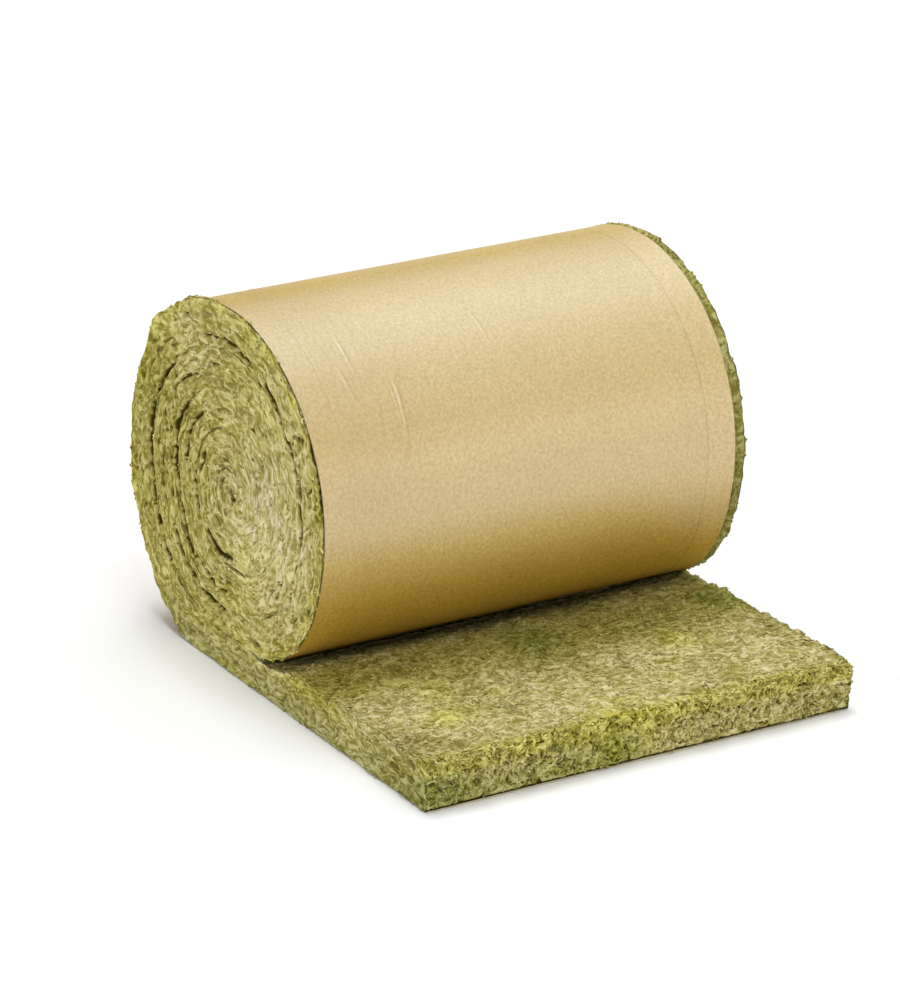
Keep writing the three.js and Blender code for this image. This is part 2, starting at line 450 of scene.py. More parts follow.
def onSides(strip):
    # which points are on the two ends, and which on the cut end
    return np.abs(strip[:, 2]) > halfWidth - 1e-6, strip[:, 0] < 1e-6


def windings(strip):
    # Where each point is in the spiral: part of a turn from straight below the eye, and whole
    # turns in from the outside plus its share of the mat's thickness.
    turn = np.interp(strip[:, 0], side["along"], side["turn"])
    share = strip[:, 1] / matThickness(strip[:, 0])
    return turn % 1, np.floor(turn) + share, turn > 0


def lineDepth(strip, place):
    # Each crack is a line in (part of a turn, turns in), cut to a Gaussian cross-section, with
    # tapered ends. The back end has the same cracks, moved on by a fifth of a turn.
    phase, wind, wound = windings(strip)
    front = strip[:, 2] < 0
    wander = wool["crackWander"] * latticeNoise(place / (14 * mm), wool["seed"] + 41)
    rough = 0.75 + 0.45 * latticeNoise(place / (9 * mm), wool["seed"] + 43)
    deepest = np.zeros(len(strip))
    widthScale, depthScale = wool["crackScale"]
    turnShift, windShift = (np.where(front, 0, shift) for shift in wool["backShift"])
    for width, deep, line in wool["cracks"]:
        at, windAt = np.array(line).T
        for lap in (0, 1):
            p = phase + lap - turnShift
            w = wind - lap - windShift
            off = (w - np.interp(p, at, windAt)) * mat["turnPitch"] + wander
            taper = smoothStep(at[0] - 0.010, at[0] + 0.006, p)
            taper = taper * smoothStep(at[-1] + 0.010, at[-1] - 0.006, p)
            across = np.exp(-(off / (widthScale * width * mm)) ** 2)
            deepest = np.maximum(deepest, depthScale * deep * mm * taper * rough * across)
    for at, windAt, halfPhase, halfWind in wool["pockets"]:
        reach = np.maximum(np.abs(phase - at) / halfPhase, np.abs(wind - windAt) / halfWind)
        pocket = wool["pocketDepth"] * rough * smoothStep(1.15, 0.8, reach) * front
        deepest = np.maximum(deepest, pocket)
    return np.where(wound, deepest, 0)


def roundEdges(strip, place):
    # Near a long edge of the mat, a point at distances a and b from the two faces is moved to
    # the circle of the edge's radius. The radius grows where the turns stand off each other.
    along, depth, across = strip.T
    thick = matThickness(along)
    loose = fractalNoise(place, 70 * mm, wool["seed"], 2) + 0.9 * leftward(place, 3.0, 0.75)
    loose = smoothStep(-0.2, 0.9, loose)
    onTail = smoothStep(wedgeLength + 0.05, wedgeLength - 0.02, along)
    radius = wool["edgeRound"] + (wool["looseRound"] - wool["edgeRound"]) * loose * (1 - onTail)
    radius = np.minimum(radius, 0.42 * thick)
    fromInner = depth > thick / 2
    a = np.where(fromInner, thick - depth, depth)
    b = halfWidth - np.abs(across)
    near = (a < radius) & (b < radius)
    ca, cb = radius - a, radius - b
    pull = radius / np.maximum(np.hypot(ca, cb), 1e-9)
    a = np.where(near, radius - ca * pull, a)
    b = np.where(near, radius - cb * pull, b)
    depth = np.where(near, np.where(fromInner, thick - a, a), depth)
    across = np.where(near, np.sign(across) * (halfWidth - b), across)
    return along, depth, across


def strandPlace(strip, place):
    # Coordinates in which the felted strands are about one unit long and wide: they follow the
    # turns on the ends, run across the tail on its top, and curl on its cut end.
    along, depth, across = strip.T
    onEnds, onCutEnd = onSides(strip)
    curl = np.stack([latticeNoise(place / (19 * mm), wool["seed"] + k) for k in (61, 62, 63)], 1)
    c, s = cos(wool["topSlant"]), sin(wool["topSlant"])
    slanted = c * along + s * across, depth, c * across - s * along
    named = (("endStrands", strip.T), ("topStrands", slanted), ("cutStrands", strip.T))
    ends, top, cut = (
        np.stack([part / size for part, size in zip(parts, wool[name])], 1) + wool[name][3] * curl
        for name, parts in named
    )
    return np.where(onEnds[:, None], ends, np.where(onCutEnd[:, None], cut, top))


def layerSeams(strip, place):
    # The layers part where their count, depth over spacing plus a slow waver along the mat, is
    # a whole number. Noise leaves them shut in places, most of all near the floor.
    along, depth, across = strip.T
    seed = wool["seed"]
    waver = latticeNoise(np.stack([along / 0.06, depth / 0.03, np.sign(across)], 1), seed + 3)
    count = depth / wool["layer"] + 0.55 * waver
    away = np.abs(count - np.round(count)) * wool["layer"] / (1.3 * mm)
    long, deep = wool["seamSize"]
    parted = stretchedNoise(seed + 5, along / long, depth / deep, np.sign(across))
    parted = parted + 0.35 * leftward(place, 2.9, 0.9) - 0.4 * smoothStep(0.16, 0.05, place[:, 2])
    return np.exp(-away * away) * smoothStep(-0.05, 0.5, parted)


def topLift(strip, place, lumps):
    # How far the tail's top comes up. Flakes are the fractional part of a noise, which climbs
    # evenly and drops at once, as lapped layers do; swells, lumps and creases are added.
    along, across = strip[:, 0], strip[:, 2]
    seed, none = wool["seed"], 0 * along
    (flakeLong, flakeWide), (creaseLong, creaseWide) = wool["flakeSize"], wool["creaseSize"]
    laps = 1.6 * stretchedNoise(seed + 17, along / flakeLong, none, across / flakeWide)
    flakes = smoothStep(0, 0.85, laps % 1) - smoothStep(0.85, 1, laps % 1)
    swell = fractalNoise(place, wool["swellSize"], seed + 19, 2)
    creases = stretchedNoise(seed + 18, along / creaseLong, none, across / creaseWide)
    lift = wool["topRipple"] * (0.9 * flakes - 0.4 + 0.9 * swell + 0.6 * lumps + 0.6 * creases)
    nearEdge = smoothStep(12 * mm, 0, np.minimum(halfWidth - np.abs(across), along))
    return lift + wool["fray"] * nearEdge * fractalNoise(place, wool["fraySize"], seed + 71, 2)


def cutJut(strip, place, pits):
    # how far the cut end comes out: broad and fine noise, less its pits, drawn in at the floor
    depth, seed = strip[:, 1], wool["seed"]
    broad, fine = (fractalNoise(place, size, seed + offset, 2)
                   for size, offset in zip(wool["cutLumpSizes"], (23, 29)))
    jut = wool["cutLumps"] * (0.5 * broad + 0.5 * fine)
    jut = (jut - wool["cutPits"] * pits) * (0.3 + 0.7 * smoothStep(0, 14 * mm, depth))
    return jut - 2 * mm * smoothStep(6 * mm, 0, depth)


def relief(strip, place):
    # Heights in metres: sunk is how far the ends go in, lift how far the tail's top comes up,
    # jut how far the cut end comes out, and puff how far a bare rim stands out. Then, as
    # shares, how hollow each point is and how far it is raised over its surroundings.
    along, depth, across = strip.T
    seed = wool["seed"]
    onEnds, onCutEnd = onSides(strip)
    cracked = lineDepth(strip, place)
    seam = layerSeams(strip, place)
    lumps = fractalNoise(place, wool["lumpSize"], seed + 7, 2)
    long, deep = wool["ridgeSize"]
    ridges = stretchedNoise(seed + 11, along / long, depth / deep, np.sign(across))
    bumps = wool["lumps"] * (0.3 - 0.55 * lumps) + wool["ridges"] * (0.4 - ridges)
    sunk = cracked + wool["seamDepth"] * seam + bumps
    lift = topLift(strip, place, lumps)
    pits = smoothStep(0.20, 0.0, np.abs(latticeNoise(place / wool["pitSize"], seed + 37)))
    jut = cutJut(strip, place, pits)
    puff = np.maximum(0.75 + fractalNoise(place, wool["puffSize"], seed + 31, 3), 0.45)
    puff = wool["rimPuff"] * puff
    out = np.zeros(len(strip))
    for end, x, z, radius, stand, rise in wool["bulges"]:
        middle = np.array([eyeX + x * mm, end * halfWidth, mat["eyeHeight"] + z * mm])
        fade = np.exp(-(np.linalg.norm(place - middle, axis=1) / (radius * mm)) ** 2)
        out, puff = out + stand * mm * fade, puff + rise * mm * fade
    # the hollow share is drawn dark as painted shade: in cracks, seams and pits, and as a painted
    # shadow line along the cut end's foot
    hollow = np.clip(cracked / (7 * mm) + 0.5 * seam, 0, 1)
    foot = smoothStep(3.5 * mm, 0.5 * mm, depth)
    hollow = np.maximum(hollow, np.maximum(0.5 * pits, foot) * onCutEnd)
    raised = np.where(onCutEnd, jut / (5 * mm), lift / (3 * mm))
    raised = np.where(onEnds, -bumps / (2 * mm), raised)
    return sunk - out, lift, jut, puff, hollow, np.clip(raised, -1, 1)


def woolTone(strip, place, raised):
    # how light the wool is, 0 to 1: painted light where it stands up and painted shade where it
    # dips, with the areas of wool["toned"]
    onEnds, onCutEnd = onSides(strip)
    broad = fractalNoise(place, wool["toneSize"], wool["seed"] + 53, 3)
    tone = wool["tone"] + 0.05 * broad + 0.07 * raised
    onTop = (strip[:, 0] < wedgeLength + 0.03) & (strip[:, 1] > 0.5 * matThickness(strip[:, 0]))
    onTop = onTop & ~onEnds & (strip[:, 0] > 1e-6)
    mottled = wool["cutMottle"] * latticeNoise(place / wool["mottleSize"], wool["seed"] + 59)
    tone = tone + onTop * wool["topTone"] + (wool["cutTone"] + mottled) * onCutEnd
    for at, radius, amount in wool["toned"]:
        tone = tone + amount * softSpot(place, at, radius)
    return tone


def outwardPuff(strip, across, fromEnd, puff, pressed):
    # How far the outer face moves out. The bare rim beyond the paper puffs out, the wool behind
    # the paper keeps a little clear of it, and inner turns press on each other.
    inset = np.where(across < 0, mat["insetFront"], mat["insetBack"])
    bare = smoothStep(inset + 1 * mm, inset - 2 * mm, fromEnd)
    onFloor = strip[:, 0] < floorLength + 0.05
    shy = np.where(onFloor, 0.1 * mm, 0.9 * mm)
    outward = bare * np.where(onFloor, 0.1 * puff, puff) - (1 - bare) * shy
    return np.where(strip[:, 0] > tuckedLength, pressed, outward)


def buildWool():
    # The flat mat gets its relief and its soft edges while flat, then is carried to the roll.
    strip, quads, triangles = weldPatches(boxPatches())
    place = bendToRoll(*strip.T)
    sunk, lift, jut, puff, hollow, raised = relief(strip, place)
    along, depth, across = roundEdges(strip, place)
    thick = matThickness(strip[:, 0])
    onTail = smoothStep(wedgeLength + 0.004, wedgeLength - 0.03, strip[:, 0])
    fromEnd = halfWidth - np.abs(across)
    fromEnd = fromEnd + sunk * np.clip(1 - fromEnd / 0.03, 0, 1)
    across = np.sign(across) * (halfWidth - fromEnd)
    # beside the roll the tail's top sinks, and rises again over a longer way on its free side
    past = strip[:, 0] - wedgeLength
    dip = np.exp(-(past / np.where(past > 0, wool["dipUnder"], wool["dipReach"])) ** 2)
    dip = dip * (1 - 0.8 * smoothStep(0.10, 0.30, strip[:, 2]))
    depth = depth + (lift * onTail - wool["wedgeDip"] * dip) * depth / thick
    along = along - jut * np.clip(1 - along / 0.035, 0, 1)
    # the outer face moves out within the outer 0.4 of the thickness, the inner one likewise
    pressed = wool["press"] * smoothStep(14 * mm, 2 * mm, fromEnd) * (1 - onTail)
    outward = outwardPuff(strip, across, fromEnd, puff, pressed)
    share = 2.5 * depth / thick
    depth = depth - outward * np.clip(1 - share, 0, 1) + pressed * np.clip(share - 1.5, 0, 1)
    points = bendToRoll(along, depth, across)
    points[:, 2] = np.maximum(points[:, 2], 0.4 * mm)
    onEnds, onCutEnd = onSides(strip)
    hollow = np.where(onEnds | onCutEnd, hollow, 0)
    # beside the roll, in its shade: painted shade in the gaps between the strands and painted light
    # on the strands
    shaded = np.exp(-(past / wool["wedgeReach"]) ** 2) * (strip[:, 1] > 0.9 * thick)
    hollow = np.maximum(hollow, wool["wedgePaintedShade"] * shaded)
    tone = woolTone(strip, place, raised) + wool["wedgePaintedLight"] * shaded
    return strip, points, quads, triangles, hollow, tone, strandPlace(strip, place)


def planarUv(strip, points, faces):
    # Each side of the mat has its own rectangle of the baked image: the two ends and the
    # tail's top as seen straight on, the hidden faces squeezed small.
    near = 0.5 * mm
    corner = points[faces]
    x, y, z = ((corner[..., i] - cadLow[i]) / (cadHigh[i] - cadLow[i]) for i in range(3))
    lengthwise = strip[faces][..., 0] / matLength
    along, depth, across = strip[faces].mean(1).T
    inner = depth > matThickness(along) - near
    # which faces, their place across and up, then the rectangle's left, bottom, width, height
    boxes = [
        (across < near - halfWidth, x, z, (0.00, 0.00, 0.49, 0.46)),
        (across > halfWidth - near, x, z, (0.51, 0.00, 0.49, 0.46)),
        (inner & (along < topEnd), x * 2 - 1, y, (0.00, 0.48, 0.34, 0.42)),
        (along < 0.2 * mm, y, z * 7, (0.00, 0.92, 0.60, 0.07)),
        (along > matLength - 0.2 * mm, y, z, (0.62, 0.92, 0.20, 0.07)),
        (inner, lengthwise, y, (0.36, 0.48, 0.31, 0.42)),
        (depth > -1, lengthwise, y, (0.69, 0.48, 0.31, 0.42)),
    ]
    uv, left = np.zeros(corner.shape[:2] + (2,)), np.ones(len(faces), bool)
    for chosen, right, up, (u, v, w, h) in boxes:
        now = left & chosen
        uv[now] = np.stack([u + w * right[now], v + h * up[now]], -1)
        left &= ~chosen
    return uv.reshape(-1, 2)


tints = {
    # Soft patches of the wool's colour, partly painted light: the large pale one on the front end's
    # right half stands in for light falling there. A place in metres from under the eye, a radius in
    # mm, then how pale, how yellow and how green it is there.
    "patches": [
        ((0.09, -0.30, 0.22), 110, 0.7, 0.0, 0.0),
        ((0.07, -0.30, 0.26), 26, 0.7, 0.0, 0.0),
        ((0.00, -0.30, 0.255), 11, 0.9, 0.0, 0.0),
        ((0.179, -0.30, 0.305), 9, 0.0, 0.5, 0.8),
        ((0.193, -0.30, 0.279), 11, 0.0, 0.5, 0.9),
        ((0.155, -0.30, 0.355), 8, 0.0, 0.4, 0.5),
        ((0.182, -0.30, 0.150), 11, 0.0, 0.0, 0.9),
        ((-0.19, -0.30, 0.16), 45, 0.0, 0.3, 0.0),
        ((-0.20, -0.30, 0.33), 50, 0.0, 0.2, 0.25),
        ((0.275, -0.170, 0.06), 28, 0.0, 0.55, 0.0),
        ((0.350, -0.212, 0.06), 26, 0.0, 0.60, 0.0),
        ((0.281, 0.167, 0.06), 34, 0.0, 0.50, 0.0),
        ((0.430, -0.010, 0.06), 50, 0.0, 0.45, 0.0),
        ((0.203, 0.005, 0.06), 42, 0.0, 0.0, 0.9),
        ((0.197, 0.270, 0.06), 40, 0.0, 0.0, 0.8),
        ((0.226, 0.172, 0.06), 34, 0.0, 0.0, 0.5),
        ((0.175, -0.255, 0.06), 45, 0.0, 0.35, 0.0),
        ((-0.08, -0.30, 0.41), 60, 0.5, 0.0, 0.0),
        ((0.37, -0.25, 0.06), 40, 0.5, 0.0, 0.0),
        ((0.45, -0.29, 0.03), 45, 0.0, 0.0, 0.5),
        ((0.45, -0.05, 0.03), 45, 0.0, 0.3, 0.3),
    ],
    "topPaintedLight": 0.55,             # painted light: paler on the tail's top, out of the roll's shade
    "topPaintedShade": 0.30,           # painted shade: yellower on the tail's top, in the roll's shade beside it
    "sidePale": 0.50,            # the tail's long side
    "foot": (0.70, 0.00, 0.35),  # low on the front side: pale, yellow, green, partly painted light reflected from the floor
    "cutYellow": 0.42,           # the cut end and the top just beside it
    "rimYellow": 0.50,           # the outer turn's rim beside the paper
    "rimGreen": 0.30,            # the same at the back end
    "seed": 301,
}


def tintsAt(place, strip):
    # The patches, broken up by broad noise, and what each side of the mat adds. Columns are
    # how pale, how yellow and how green the wool is.
    seed = tints["seed"]
    along, depth = strip[:, 0], strip[:, 1]
    broken = fractalNoise(place, 26 * mm, seed, 3)
    total = np.zeros((len(place), 3))
    for at, radius, *amounts in tints["patches"]:
        fade = softSpot(place, at, radius) * np.clip(1 + 0.9 * broken, 0, 2)
        total += fade[:, None] * np.array(amounts)
    drift = [fractalNoise(place, 55 * mm, seed + 10 * k, 3) for k in (1, 2, 3)]
    total += 0.22 * np.clip(np.stack(drift, 1), 0, 1)
    front = place[:, 1] < 0
    onTop = (along < wedgeLength) & (place[:, 2] > 0.9 * tailTop(0))
    onSide = (place[:, 1] < 1e-4 - halfWidth) & (along < mat["tail"]) & ~onTop
    # the roll's shade on the tail's top ends here: beyond it the top is paler, as painted light, and
    # within it yellower, as painted shade
    away = smoothStep(0.20, 0.29, place[:, 0] - eyeX)
    nearCut = smoothStep(0.03, 0, along)
    total[:, 0] += tints["topPaintedLight"] * onTop * away * (1 - nearCut) + tints["sidePale"] * onSide
    foot = front & (along < mat["tail"] + 0.18) & ~onTop
    foot = foot * smoothStep(50 * mm, 15 * mm, place[:, 2])
    total += foot[:, None] * np.array(tints["foot"])
    total[:, 1] += onTop * (tints["topPaintedShade"] * (1 - away) + tints["cutYellow"] * nearCut)
    rim = (depth < 12 * mm) & (along > wedgeLength) & (along < tuckedLength)
    total[:, 1] += tints["rimYellow"] * rim * np.clip(0.6 + broken, 0, 1) * front
    total[:, 2] += tints["rimGreen"] * rim * ~front
    onCutEnd = total * (0, 1, 1) + (0, tints["cutYellow"], 0)
    return np.clip(np.where(along[:, None] < 1e-6, onCutEnd, total), 0, 1)


strip, woolPoints, quads, triangles, woolHollow, tone, strands = buildWool()
# its hollow and tuft attributes carry painted shade and light along with the wool's own tone
woolBody = meshObject(
    "mineral_wool_mat", woolPoints, [quads, triangles],
    {"strand": strands, "hollow": woolHollow, "tint": tintsAt(woolPoints, strip), "tuft": tone},
    np.concatenate([planarUv(strip, woolPoints, f) for f in (quads, triangles)]))
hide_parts("wool_mat")
print("wool mat:", len(quads) * 2 + len(triangles), "triangles")


# A fibre is a thin spindle: its first end, a ring of three points at its middle, and its last
# end. The cells are the corners of its triangles within its own square of the baked image.
ring = ((1, 2), (2, 3), (3, 1))
fibreTriangles = np.array([t for a, b in ring for t in ((0, b, a), (a, b, 4))])
fibreCells = np.array([t for k in range(3) for t in (((k + 0.5, 0), (k + 1, 1), (k, 1)),
                                                     ((k, 1), (k + 1, 1), (k + 0.5, 2)))]) / (3, 2)

# the wool's four-sided faces, from which the fibres grow
quadCorners, quadPlace = woolPoints[quads], strip[quads].mean(1)
quadArea = 0.5 * np.linalg.norm(np.cross(quadCorners[:, 2] - quadCorners[:, 0],
                                         quadCorners[:, 3] - quadCorners[:, 1]), axis=1)
woolNormals = np.empty(len(woolPoints) * 3, np.float32)
woolBody.data.vertices.foreach_get("normal", woolNormals)
woolNormals = woolNormals.reshape(-1, 3).astype(float)


def spindles(centre, normal, heading, length, kink, radius, lift, sink):
    # Each fibre lies in the surface: its two ends are sunk, its middle stands `lift` over the
    # surface, and it is bent sideways at the middle by `kink` of its length.
    sideways = np.cross(normal, heading)
    u = np.array([-0.5, 0, 0.5])
    aside = kink[:, None] * (0.25 - u * u) * length[:, None]
    height = np.where(u == 0, lift[:, None], -sink[:, None])
    line = (centre[:, None] + (u * length[:, None])[..., None] * heading[:, None]
            + aside[..., None] * sideways[:, None] + height[..., None] * normal[:, None])
    points = np.empty((len(centre), 5, 3))
    points[:, 0], points[:, 4] = line[:, 0], line[:, 2]
    for k in range(3):
        angle = pi / 2 + 2 * pi * k / 3
        spoke = cos(angle) * sideways + sin(angle) * normal
        points[:, 1 + k] = line[:, 1] + radius[:, None] * spoke
    return points


def layFibres(rng, style, weight):
    # Fibres start at random points of the wool's faces, picked in proportion to area times
    # weight, and head along the mat or across it, turned by a random slant.
    count = style["count"]
    weight = quadArea * weight
    pick = rng.choice(len(quads), count, p=weight / weight.sum())
    a, b = rng.random((2, count, 1))
    q = quadCorners[pick]
    centre = (1 - a) * ((1 - b) * q[:, 0] + b * q[:, 3]) + a * ((1 - b) * q[:, 1] + b * q[:, 2])
    normal = woolNormals[quads[pick]].mean(1)
    normal /= np.linalg.norm(normal, axis=1)[:, None]
    s = quadPlace[pick, 0]
    ahead = bendToRoll(s + 1 * mm, 0 * s, 0 * s) - bendToRoll(s - 1 * mm, 0 * s, 0 * s)
    ahead = np.where(rng.random((count, 1)) < style["crosswise"], (0, 1, 0), ahead)
    ahead = ahead - np.einsum("ij,ij->i", ahead, normal)[:, None] * normal
    ahead /= np.maximum(np.linalg.norm(ahead, axis=1)[:, None], 1e-9)
    spin = rng.normal(style["slant"], style["spread"], count)[:, None]
    heading = np.cos(spin) * ahead + np.sin(spin) * np.cross(normal, ahead)
    length = rng.uniform(*style["length"], count)
    if style["keepIn"]:
        room = np.minimum(quadPlace[pick, 1], halfWidth - np.abs(quadPlace[pick, 2]))
        length = np.minimum(length, 3 * mm + 0.9 * room)
    kink = rng.normal(0, style["kink"], count)
    radius = rng.uniform(*style["radius"], count)
    lift = rng.gamma(2.0, style["lift"] / 2, count)
    shape = spindles(centre, normal, heading, length, kink, radius, lift, radius + 0.5 * mm)
    shape[..., 2] = np.maximum(shape[..., 2], 0.2 * mm)
    return pick, centre, shape


def scatterFibres(name, style, weight):
    # one piece of loose fibres, each with its own square of the baked image and own lightness
    rng = np.random.default_rng(style["seed"])
    pick, centre, shape = layFibres(rng, style, weight)
    count = len(pick)
    faces = (fibreTriangles[None] + 5 * np.arange(count)[:, None, None]).reshape(-1, 3)
    rows = int(np.ceil(np.sqrt(count)))
    cell = np.stack([np.arange(count) % rows, np.arange(count) // rows], 1)
    bakeUv = (cell[:, None, None] + 0.08 + 0.84 * fibreCells[None]) / rows
    patchy = fractalNoise(centre, 25 * mm, style["seed"] + 1, 2)
    # each fibre takes the hollow share of the wool under it, which is drawn as painted shade
    hollow = woolHollow[quads[pick]].mean(1)
    own = style["contrast"] * (1 + 2 * hollow) * (rng.beta(2.2, 2.2, count) - 0.5) + 0.05 * patchy
    shade = tone[quads[pick]].mean(1) + style["lighter"] + own
    # each fibre reads its own stretch of the strands' grain
    grain = rng.uniform(0, 40, (count, 1, 3)) + np.array([0, 1, 1, 1, 2])[:, None] * (0.6, 0, 0)
    values = {"tuft": np.repeat(shade, 5), "hollow": np.repeat(hollow, 5),
              "strand": grain.reshape(-1, 3),
              "tint": np.repeat(tintsAt(centre, quadPlace[pick]), 5, axis=0)}
    piece = meshObject(name, shape.reshape(-1, 3), [faces], values, bakeUv.reshape(-1, 2))
    print(name + ":", len(faces), "triangles")
    return piece


def onEnd(sign):
    # an end's face and the bare rim beside the paper, but not the cracks
    fromEnd = halfWidth - sign * quadPlace[:, 2]
    rim = (fromEnd < 14 * mm) & (quadPlace[:, 1] < 0.5 * mm) & (quadPlace[:, 0] < tuckedLength)
    clear = np.clip(1 - 1.5 * woolHollow[quads].max(1), 0, 1) ** 2
    return np.where(fromEnd < 1e-5, 1.0, np.where(rim, 1.5, 0)) * clear


onInner = quadPlace[:, 1] > matThickness(quadPlace[:, 0]) - 1e-5
onTop = onInner & (quadPlace[:, 0] < wedgeLength + 4 * mm)
onCut = (quadPlace[:, 0] < 1e-5) & (quadPlace[:, 1] > 6 * mm)
onCut = np.where(onCut, 1.0, np.where(onInner & (quadPlace[:, 0] < 10 * mm), 0.6, 0))

endFibres = {
    "count": 3600,
    "length": (6 * mm, 13 * mm),
    "radius": (0.9 * mm, 1.7 * mm),
    "kink": 0.8,                 # sideways bend, as a share of the length
    "crosswise": 0.0,            # share of them that head across the mat
    "slant": 0.0,                # mean turn from that heading, and its spread, in radians
    "spread": 0.28,
    "keepIn": False,             # whether those near the cut end's edges are shortened
    "lift": 0.4 * mm,            # how far their middles stand up
    "contrast": 0.42,            # how much they differ in lightness
    "lighter": 0.09,             # than the wool under them
}
topFibres = {**endFibres, "seed": 103, "count": 9000, "length": (6 * mm, 15 * mm),
             "radius": (0.75 * mm, 1.3 * mm), "spread": 0.5, "slant": -0.4, "crosswise": 1.0,
             "lift": 0.3 * mm, "contrast": 0.26, "lighter": 0.04}
cutFibres = {**endFibres, "seed": 104, "count": 2600, "length": (8 * mm, 17 * mm), "keepIn": True,
             "kink": 1.6, "spread": 0.9, "crosswise": 0.7,
             "radius": (1.0 * mm, 2.0 * mm), "lift": 1.0 * mm, "contrast": 1.0, "lighter": 0.0}
pieceFibres = [
    scatterFibres("fibres_front_end", {**endFibres, "seed": 101}, onEnd(-1)),
    scatterFibres("fibres_back_end", {**endFibres, "seed": 102}, onEnd(1)),
    scatterFibres("fibres_tail_top", topFibres, onTop),
    scatterFibres("fibres_cut_end", cutFibres, onCut),
]


paper = {
    "stepAlong": 9 * mm,         # spacing of its mesh round the roll
    "stepAcross": 5 * mm,        # and along it
    "wrinkle": 0.5 * mm,         # creases that run round the roll
    "wave": 0.35 * mm,           # broad unevenness over the wool
    "edgeLift": 0.8 * mm,        # how far the back edge stands off the wool
    "tab": 40 * mm,              # a faint line this far inside each edge
    "tabStep": 0.2 * mm,         # how deep that line is
    "lip": 1.2 * mm,             # how far it reaches out from under the cut end
    "waveSize": 110 * mm,
    "wrinkleSize": (55 * mm, 7 * mm),   # round the roll and along it
    "edgeWander": 0.6 * mm,      # unevenness of the edges
    # the shade where it goes in over the tail: part of a turn, its half width, how dark
    "slit": (0.916, 0.020, 3.2),
    # long creases: height and half width in mm, then points (part of a turn, metres across)
    "creases": [
        (0.75, 1.7, [(0.615, -0.1650), (0.639, -0.1669), (0.653, -0.1680), (0.669, -0.1714),
                     (0.684, -0.1790)]),
        (-0.55, 1.6, [(0.623, -0.1680), (0.647, -0.1710), (0.676, -0.1795)]),
        (0.60, 1.5, [(0.560, -0.2088), (0.585, -0.2100)]),
        (0.60, 1.5, [(0.590, -0.2282), (0.617, -0.2222)]),
        (0.25, 1.5, [(0.604, -0.1210), (0.632, -0.1264)]),
        (0.45, 1.5, [(0.630, -0.1954), (0.656, -0.2020)]),
        (0.55, 1.6, [(0.558, -0.0218), (0.583, -0.0194)]),
    ],
    "seed": 5,
}


def paperColumns(low, high, tabs):
    # places across the sheet: even ones, with closer ones at its edges, tab lines and creases
    even = np.linspace(low, high, int((high - low) / paper["stepAcross"]))
    close = [tabs + t * mm for t in (-2.4, -1.2, 0, 1.2, 2.4)] + [[low + 1 * mm, high - 1 * mm]]
    for _, _, line in paper["creases"]:
        ys = np.array(line)[:, 1]
        close.append(np.arange(ys.min() - 4 * mm, ys.max() + 4 * mm, 1.3 * mm))
    close = np.concatenate(close)
    edge = (even == low) | (even == high)
    even = even[edge | (np.abs(even[:, None] - close[None, :]).min(1) > 1.5 * mm)]
    across = np.sort(np.concatenate([even, close]))
    return across[np.concatenate([[True], np.diff(across) > 0.4 * mm])]


def longCreases(turn, y):
    # each is a line cut to a Gaussian ridge with tapered ends, with painted shade on one side of its
    # top
    folds, shaded = np.zeros(len(y)), np.zeros(len(y))
    for height, width, line in paper["creases"]:
        at, yAt = np.array(line).T
        taper = smoothStep(at[0] - 0.008, at[0] + 0.008, turn)
        taper = taper * smoothStep(at[-1] + 0.008, at[-1] - 0.008, turn)
        off = (y - np.interp(turn, at, yAt)) / (width * mm)
        folds += height * mm * taper * np.exp(-off ** 2)
        shaded += height * taper * np.exp(-(off - 1) ** 2)
    return folds, shaded


